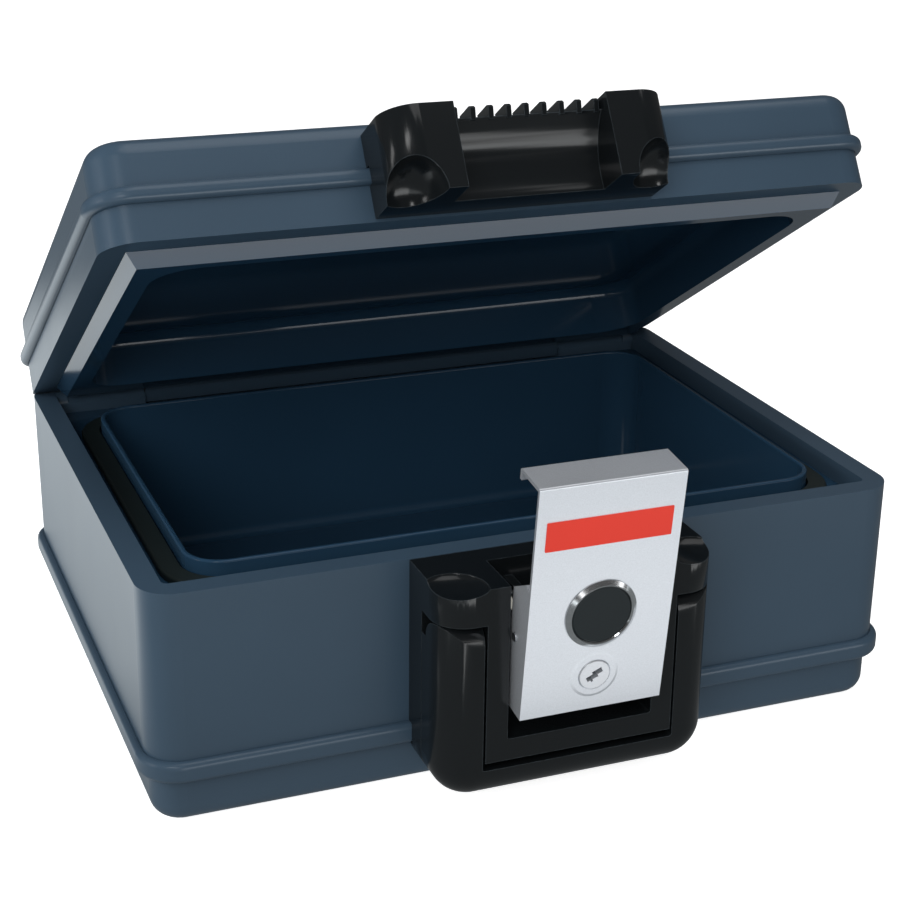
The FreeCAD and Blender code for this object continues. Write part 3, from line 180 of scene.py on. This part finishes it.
def moulded_plastic(name, colour, gloss, grain, depth, edge_wear_and_highlight, pale=2.2):
    """Injection-moulded plastic: fine grain, uneven gloss and edges painted paler.

    gloss is the roughness from low to high and grain counts features per metre. The next argument
    says how strongly the edges are painted paler, and pale says how many times brighter such a place
    is. On the slate and navy mouldings this is rubbed wear. On the black mouldings it is a painted
    highlight where edges would catch the light, with some wear.
    """
    shader = Shader(name)
    cloud = shader.remap(shader.noise(COLOUR_CLOUDS, 3), 0, 1)
    tinted = shader.mix(cloud, shader.shade(colour, 0.94), shader.shade(colour, 1.06))
    # Edges painted paler: wear, and where they are painted much paler (the black mouldings) a
    # painted highlight.
    worn_and_lit_edges = shader.edges(WEAR_AND_HIGHLIGHT_WIDTH)
    speckle = shader.remap(shader.noise(WEAR_AND_HIGHLIGHT_SPECKLE, 3), 0.25, 1.0)
    wear_and_highlight = shader.product(shader.product(worn_and_lit_edges, speckle), edge_wear_and_highlight)
    base = shader.mix(wear_and_highlight, tinted, shader.shade(colour, pale))
    low, high = gloss
    roughness = shader.remap(shader.noise(GLOSS_PATCHES, 1), low, high, 0.0, 1.0)
    normal = shader.bump(shader.noise(grain, 2), depth)
    return shader.finish(
        Base_Color=base,
        Roughness=roughness,
        Normal=normal,
        IOR=1.5,
    )


def satin_metal(name, colour, metallic, gloss, grain, depth, stretch=(1, 1, 1)):
    """Metal, metal paint or mineral filling with a fine grain, stretched where it was worked."""
    shader = Shader(name)
    lines = shader.noise(grain, 3, stretch)
    tinted = shader.mix(
        shader.remap(lines, 0, 1), shader.shade(colour, 0.95), shader.shade(colour, 1.04)
    )
    low, high = gloss
    roughness = shader.remap(shader.noise(METAL_PATCHES, 3), low, high)
    normal = shader.bump(lines, depth)
    return shader.finish(Base_Color=tinted, Metallic=metallic, Roughness=roughness, Normal=normal)


# ---------------------------------------------------------------- materials

def make_materials():
    """One material per slot of the record."""
    slate = linear(56, 74, 90)
    navy = linear(33, 58, 79)
    black = linear(19, 22, 24)
    return {
        "shell_plastic": moulded_plastic(
            "slate_shell", slate, gloss=(0.27, 0.30), grain=2600, depth=1 * MICRON, edge_wear_and_highlight=0.1,
        ),
        "liner_plastic": moulded_plastic(
            "navy_liner", navy, gloss=(0.10, 0.13), grain=1500, depth=0.8 * MICRON, edge_wear_and_highlight=0.1,
        ),
        # Black edges painted twelve times paler: a painted highlight along the edges, with some
        # wear.
        "black_plastic": moulded_plastic(
            "black_moulding", black, gloss=(0.16, 0.20), grain=2200, depth=1 * MICRON, edge_wear_and_highlight=0.7,
            pale=12,
        ),
        "gasket_rubber": moulded_plastic(
            "gasket_rubber", linear(24, 32, 32), gloss=(0.5, 0.65), grain=1800,
            depth=20 * MICRON, edge_wear_and_highlight=0.1,
        ),
        "button_plastic": moulded_plastic(
            "button_slate", linear(30, 38, 41), gloss=(0.42, 0.52), grain=3000,
            depth=10 * MICRON, edge_wear_and_highlight=0.1,
        ),
        "label_red": moulded_plastic(
            "red_label", linear(240, 60, 42), gloss=(0.30, 0.38), grain=2000,
            depth=2 * MICRON, edge_wear_and_highlight=0.0,
        ),
        "cast_filling": satin_metal(
            "cast_filling", linear(196, 192, 182), metallic=0.0, gloss=(0.85, 0.95), grain=700,
            depth=200 * MICRON,
        ),
        "latch_metal": satin_metal(
            "silver_latch", linear(226, 230, 236), metallic=0.78, gloss=(0.36, 0.40), grain=1800,
            depth=2 * MICRON,
        ),
        "plug_metal": satin_metal(
            "plug_steel", linear(224, 227, 232), metallic=0.7, gloss=(0.30, 0.38), grain=900,
            depth=4 * MICRON, stretch=(1, 1, 6),
        ),
        "ring_chrome": satin_metal(
            "chrome_ring", linear(226, 228, 230), metallic=1.0, gloss=(0.12, 0.18), grain=500,
            depth=1 * MICRON,
        ),
        "pin_steel": satin_metal(
            "pin_steel", linear(198, 200, 202), metallic=1.0, gloss=(0.2, 0.3), grain=900,
            depth=5 * MICRON, stretch=(8, 1, 1),
        ),
        "spring_steel": satin_metal(
            "spring_wire", linear(170, 172, 174), metallic=1.0, gloss=(0.25, 0.35), grain=900,
            depth=4 * MICRON,
        ),
        "screw_steel": satin_metal(
            "plated_steel", linear(186, 184, 176), metallic=1.0, gloss=(0.28, 0.4), grain=700,
            depth=8 * MICRON,
        ),
    }


def dress_nodes(materials):
    """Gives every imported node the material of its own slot."""
    for row in frame["record"]["subparts"]:
        piece = nodes[row["node"]]
        slots = piece.data.materials
        if not slots:
            slots.append(None)
        for index in range(len(slots)):
            slots[index] = materials[row["material_slot"]]


# ---------------------------------------------------------------- edges

EDGE_ROUND = 0.6 * MILLIMETRE
WELD_REACH = 0.01 * MILLIMETRE
SHARP_FROM = math.radians(30)


def soften(name):
    """Rounds a node's sharp edges by a small radius, as a mould leaves them."""
    piece = nodes[name]
    weld = piece.modifiers.new("weld", "WELD")
    weld.merge_threshold = WELD_REACH
    bevel = piece.modifiers.new("edge_round", "BEVEL")
    bevel.width = EDGE_ROUND
    bevel.segments = 2
    bevel.limit_method = "ANGLE"
    bevel.angle_limit = SHARP_FROM
    bevel.harden_normals = True
    bevel.use_clamp_overlap = True


# ---------------------------------------------------------------- stage, light and camera

# The camera's direction and roll in degrees, its distance from AIM in metres, its lens in mm.
CAMERA_AZIMUTH = 21.42
CAMERA_ELEVATION = 21.19
CAMERA_ROLL = 0.68
CAMERA_DISTANCE = 0.9484
CAMERA_LENS = 74.8
AIM = Vector((0.0071, 0.0, 0.102))

# How bright the floor is: to the camera, as a light, and mirrored in gloss beside the chest,
# far in front of it and anywhere else.
COOL = (0.92, 0.98, 1.0, 1.0)
FLOOR_SEEN = 0.86
FLOOR_WASH = 0.8
FLOOR_BESIDE = 1.22
FLOOR_BEFORE = 1.1
FLOOR_NEAR = 0.2
FLOOR_REACH = 4.0

# Where the mirrored glows of the floor fade in or out, as places along X or Y.
BESIDE_INNER = (-0.28, -0.12)
BESIDE_OUTER = (-0.48, -0.38)
BESIDE_FRONT = (-0.16, 0.02)
BESIDE_BACK = (0.60, 0.75)
BEFORE_FROM = (-1.10, -0.80)

# How bright the surroundings are: to the camera, as a light, and mirrored in gloss.
WORLD_SEEN = 1.0
WORLD_WASH = 0.35
WORLD_GLOSS = 0.07

LIT_MIDDLE = (0, 0, 0.1)
CARD_PLACE = (0.08, -0.33, 0.004)
LATCH_FACES = ("latch_plate", "lock_barrel", "lock_plug")


def make_floor():
    """Plain pale floor that runs on far behind the chest; the gloss mirrors soft glows in it."""
    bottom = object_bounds()[0][2]
    mesh = bpy.data.meshes.new("studio_floor")
    signs = [(-1, -1), (1, -1), (1, 1), (-1, 1)]
    corners = [(x * FLOOR_REACH, y * FLOOR_REACH, bottom) for x, y in signs]
    mesh.from_pydata(corners, [], [(0, 1, 2, 3)])
    floor = bpy.data.objects.new("studio_floor", mesh)
    bpy.context.scene.collection.objects.link(floor)
    shader = Shader("pale_floor")
    paper = shader.mix(shader.noise(3, 2), linear(226, 226, 226), linear(230, 230, 230))
    parts = shader.add("ShaderNodeSeparateXYZ")
    shader.feed(parts.inputs["Vector"], shader.place)
    across = parts.outputs["X"]
    along = parts.outputs["Y"]
    inner = shader.remap(across, FLOOR_BESIDE, 0.0, *BESIDE_INNER)
    outer = shader.remap(across, 0.0, 1.0, *BESIDE_OUTER)
    front = shader.remap(along, 0.0, 1.0, *BESIDE_FRONT)
    back = shader.remap(along, 1.0, 0.0, *BESIDE_BACK)
    beside = shader.product(shader.product(inner, outer), shader.product(front, back))
    before = shader.remap(along, FLOOR_BEFORE, 0.0, *BEFORE_FROM)
    glow = shader.sum(shader.sum(beside, before), FLOOR_NEAR)
    path = shader.add("ShaderNodeLightPath")
    seen = path.outputs["Is Camera Ray"]
    unseen = shader.blend(path.outputs["Is Diffuse Ray"], glow, FLOOR_WASH)
    strength = shader.blend(seen, unseen, FLOOR_SEEN)
    tint = shader.mix(seen, BLACK, paper)
    mesh.materials.append(shader.finish(
        Base_Color=tint,
        Roughness=0.9,
        Specular_IOR_Level=0.0,
        Emission_Color=shader.mix(seen, COOL, WHITE),
        Emission_Strength=strength,
    ))


def soft_light(name, kind, radiance, width, height, place, aim=LIT_MIDDLE):
    """A rectangular studio light: a "wash" is not mirrored, a "mirrored" one only shows in gloss."""
    data = bpy.data.lights.new(name, "AREA")
    data.shape = "RECTANGLE"
    data.size = width
    data.size_y = height
    data.energy = radiance * math.pi * width * height
    light = bpy.data.objects.new(name, data)
    bpy.context.scene.collection.objects.link(light)
    light.location = place
    direction = Vector(aim) - Vector(place)
    light.rotation_euler = direction.to_track_quat("-Z", "Y").to_euler()
    light.visible_glossy = kind != "wash"
    light.visible_diffuse = kind != "mirrored"
    return light


def make_lights():
    """Washes that light the plastics, and panels that show in their gloss."""
    soft_light("left_wash", "wash", 4.7, 0.9, 0.9, (-1.6, 0.2, 0.6))
    soft_light("front_wash", "wash", 5.1, 0.9, 0.9, (-0.9, -1.3, 1.0))
    soft_light("top_wash", "wash", 2.8, 1.0, 1.0, (0.2, -0.5, 1.6))
    soft_light("top_panel", "mirrored", 1.0, 1.3, 1.0, (0.3, -0.1, 1.5))
    soft_light("front_panel", "mirrored", 1.7, 0.9, 0.22, (0.2, -0.65, 0.13), (0.05, 0, 0.13))
    soft_light("umbrella_front", "mirrored", 5.0, 0.3, 0.3, (-0.74, -1.13, 1.07))
    soft_light("umbrella_left", "mirrored", 3.0, 0.3, 0.3, (-1.46, -0.25, 0.53))


def make_latch_card():
    """A card on the floor, facing up, that only the silver latch and its lock mirror."""
    straight_above = (CARD_PLACE[0], CARD_PLACE[1], 1.0)
    card = soft_light("latch_card", "mirrored", 0.78, 0.34, 0.2, CARD_PLACE, straight_above)
    card.visible_camera = False
    mirrors = bpy.data.collections.new("latch_faces")
    for name in LATCH_FACES:
        mirrors.objects.link(nodes[name])
    card.light_linking.receiver_collection = mirrors


def make_world():
    """White surroundings for the camera, dim ones for light and dark ones for gloss."""
    world = bpy.data.worlds.new("studio")
    bpy.context.scene.world = world
    world.use_nodes = True
    tree = world.node_tree
    background = tree.nodes["Background"]
    background.inputs["Color"].default_value = WHITE
    path = tree.nodes.new("ShaderNodeLightPath")
    unseen = tree.nodes.new("ShaderNodeMix")
    strength = tree.nodes.new("ShaderNodeMix")
    for choice, ray, level in (
        (unseen, "Is Glossy Ray", WORLD_GLOSS),
        (strength, "Is Camera Ray", WORLD_SEEN),
    ):
        choice.data_type = "FLOAT"
        tree.links.new(path.outputs[ray], choice.inputs["Factor"])
        choice.inputs["B"].default_value = level
    unseen.inputs["A"].default_value = WORLD_WASH
    tree.links.new(unseen.outputs["Result"], strength.inputs["A"])
    tree.links.new(strength.outputs["Result"], background.inputs["Strength"])


def make_camera():
    """Camera at the left front, a little above the chest."""
    turn = math.radians(CAMERA_AZIMUTH)
    tilt = math.radians(CAMERA_ELEVATION)
    roll = math.radians(CAMERA_ROLL)
    level = math.cos(tilt)
    ahead = Vector((math.sin(turn) * level, math.cos(turn) * level, -math.sin(tilt)))
    right = Vector((math.cos(turn), -math.sin(turn), 0))
    upward = right.cross(ahead)
    rolled_right = right * math.cos(roll) + upward * math.sin(roll)
    rolled_up = upward * math.cos(roll) - right * math.sin(roll)
    data = bpy.data.cameras.new("photo_camera")
    data.lens = CAMERA_LENS
    data.sensor_width = 36
    data.clip_start = 0.01
    camera = bpy.data.objects.new("photo_camera", data)
    bpy.context.scene.collection.objects.link(camera)
    columns = Matrix((rolled_right, rolled_up, -ahead)).transposed()
    camera.matrix_world = Matrix.Translation(AIM - ahead * CAMERA_DISTANCE) @ columns.to_4x4()
    bpy.context.scene.camera = camera


dress_nodes(make_materials())
for black_piece in ("escutcheon", "handle", "lid_housing"):
    soften(black_piece)
make_floor()
make_lights()
make_latch_card()
make_world()
make_camera()
bpy.context.scene.view_settings.view_transform = "Standard"
